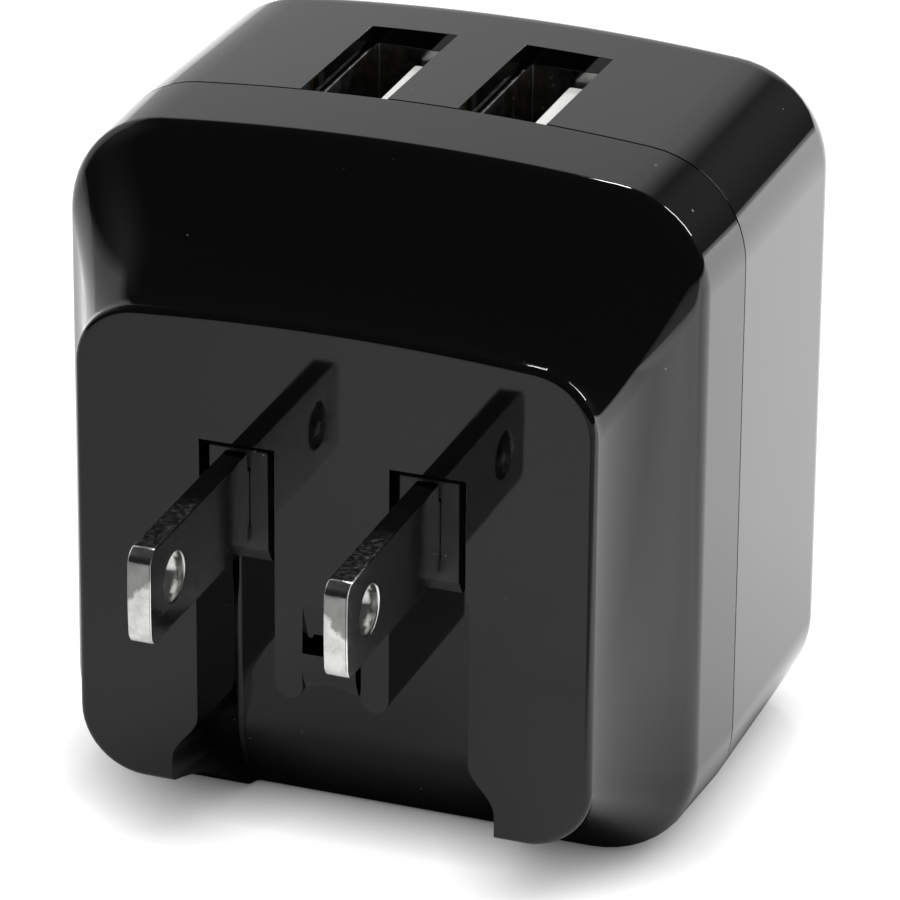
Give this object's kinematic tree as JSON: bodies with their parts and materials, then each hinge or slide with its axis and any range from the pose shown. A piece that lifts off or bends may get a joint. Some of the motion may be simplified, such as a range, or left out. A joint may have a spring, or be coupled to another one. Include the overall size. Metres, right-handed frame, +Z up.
{
  "type": "usb wall charger",
  "caption": "Compact black wall charger with USB-A sockets in its crowned top and a flat two-blade plug that folds down into a channel in its face.",
  "frame": {"origin": "on the surface it stands on, under the middle of the bounding box with the blades out", "axes": "+Z up, -Y the way the plug blades point, +X to the right when looking at the plug face"},
  "size_m": [0.043, 0.0524, 0.047],
  "materials": {
    "gloss_black": "high gloss moulded polycarbonate",
    "satin_black": "satin moulded nylon",
    "nickel": "nickel-plated brass, brushed",
    "brass": "rolled",
    "spring_steel": "bright",
    "socket_steel": "tin-plated",
    "white_plastic": "moulded",
    "circuit_board": "solder mask",
    "chip_black": "moulded",
    "ferrite": "sintered",
    "yellow_tape": "polyester tape",
    "capacitor_sleeve": "shrink sleeve",
    "blue_ceramic": "dipped",
    "white_wire": "extruded",
    "black_wire": "extruded"
  },
  "bodies": {
    "housing": {"front_shell": "gloss_black", "rear_shell": "gloss_black", "pivot_cap_left": "satin_black", "pivot_cap_right": "satin_black", "contact_spring_left": "brass", "contact_spring_right": "brass", "detent_spring": "spring_steel", "latch_spring": "spring_steel", "usb_shell_left": "socket_steel", "usb_shell_right": "socket_steel", "usb_tongue_left": "white_plastic", "usb_tongue_right": "white_plastic", "usb_contacts_left": "brass", "usb_contacts_right": "brass", "socket_board": "circuit_board", "board_pins": "brass", "charge_chips": "chip_black", "main_board": "circuit_board", "transformer_core": "ferrite", "transformer_winding": "yellow_tape", "input_capacitors": "capacitor_sleeve", "output_capacitors": "capacitor_sleeve", "safety_capacitor": "blue_ceramic", "fuse": "white_plastic", "choke": "ferrite", "bridge_rectifier": "chip_black", "controller_chip": "chip_black", "output_diode": "chip_black", "optocoupler": "white_plastic", "lead_left": "white_wire", "lead_right": "black_wire"},
    "plug": {"blade_carrier": "satin_black", "blade_left": "nickel", "blade_right": "nickel"},
    "latch": {"adapter_latch": "gloss_black"}
  },
  "joints": [
    {"name": "plug_fold", "type": "hinge", "parent": "housing", "child": "plug", "pos_m": [0, -0.0069, 0.0255], "axis": [1, 0, 0], "range_deg": [0, 90]},
    {"name": "latch_press", "type": "slide", "parent": "housing", "child": "latch", "axis": [0, 1, 0], "range_m": [0, 0.001], "stiffness_N_per_m": 300, "springref_m": -0.0005, "deforming": ["latch_spring"]}
  ]
}
